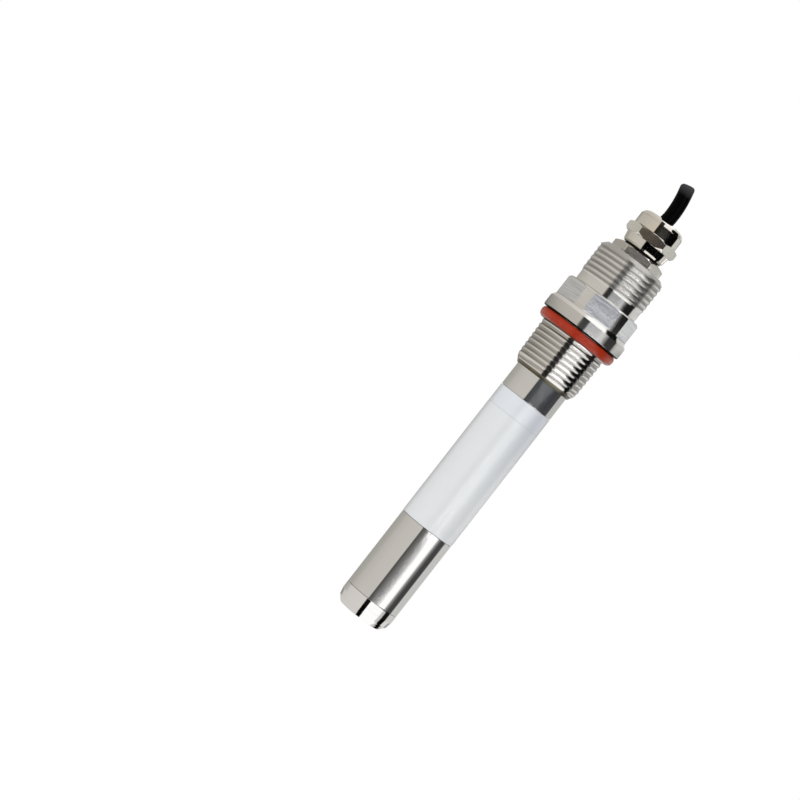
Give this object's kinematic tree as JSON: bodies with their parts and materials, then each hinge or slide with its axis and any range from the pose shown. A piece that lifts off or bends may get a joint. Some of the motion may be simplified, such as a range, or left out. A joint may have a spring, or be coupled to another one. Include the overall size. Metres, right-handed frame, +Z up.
{
  "type": "turbidity sensor",
  "caption": "Insertion probe for turbidity: steel tube with a white sleeve and an optical tip, threaded process fitting with a red seal ring, cable gland and a short cable.",
  "frame": {"origin": "centre of the tip's end face", "axes": "+Z up the probe axis, from the tip to the cable; +X to the right and -Y towards the viewer of the reference view"},
  "size_m": [0.0324, 0.0324, 0.1918],
  "materials": {
    "stainless_steel": "fine turned",
    "nickel_plated_brass": "polished nickel",
    "white_plastic": "satin white",
    "red_silicone": "smooth moulded",
    "black_rubber": "matt",
    "black_plastic": "matt",
    "black_cable": "smooth extruded",
    "sapphire": "polished",
    "circuit_board": "solder resist",
    "pale_nylon": "natural nylon",
    "connector_white": "moulded",
    "tinned_steel": "tinned",
    "red_insulation": "extruded",
    "yellow_insulation": "extruded",
    "blue_insulation": "extruded"
  },
  "bodies": {
    "sensor": {"housing_tube": "stainless_steel", "white_sleeve": "white_plastic", "tip_cap": "stainless_steel", "tip_window": "sapphire", "process_fitting": "stainless_steel", "seal_ring": "red_silicone", "gland_body": "nickel_plated_brass", "cable_jacket": "black_cable", "infrared_led": "sapphire", "tip_window_seal": "black_rubber", "tip_oring": "black_rubber", "gland_oring": "black_rubber", "gland_seal": "black_rubber", "optics_block": "black_plastic", "photodiode": "black_plastic", "lower_carrier": "black_plastic", "upper_carrier": "black_plastic", "microcontroller": "black_plastic", "converter_chip": "black_plastic", "amplifier_chip": "black_plastic", "bus_chip": "black_plastic", "regulator": "black_plastic", "inductor": "black_plastic", "preamplifier_chip": "black_plastic", "thermistor": "tinned_steel", "board_screw_1": "tinned_steel", "board_screw_2": "tinned_steel", "crystal": "tinned_steel", "storage_capacitor": "tinned_steel", "optics_board": "circuit_board", "main_board": "circuit_board", "optics_header": "connector_white", "cable_header": "connector_white", "head_header": "connector_white", "core_red": "red_insulation", "core_black": "black_plastic", "core_yellow": "yellow_insulation", "core_blue": "blue_insulation", "head_lead_1": "red_insulation", "head_lead_2": "black_plastic", "head_lead_3": "yellow_insulation", "head_lead_4": "blue_insulation"},
    "gland_clamp": {"gland_claw": "pale_nylon"},
    "clamp_nut": {"gland_nut": "nickel_plated_brass"}
  },
  "joints": [
    {"name": "nut_travel", "type": "slide", "parent": "sensor", "child": "gland_clamp", "axis": [0, 0, 1], "range_m": [-0.00001, 0.00751]},
    {"name": "nut_turn", "type": "hinge", "parent": "gland_clamp", "child": "clamp_nut", "pos_m": [0, 0, 0.1682], "axis": [0, 0, 1], "range_deg": [0, 1800]}
  ],
  "couplings": [
    {"joint": "nut_travel", "follows": "nut_turn", "m_per_rad": 0.00023873}
  ]
}
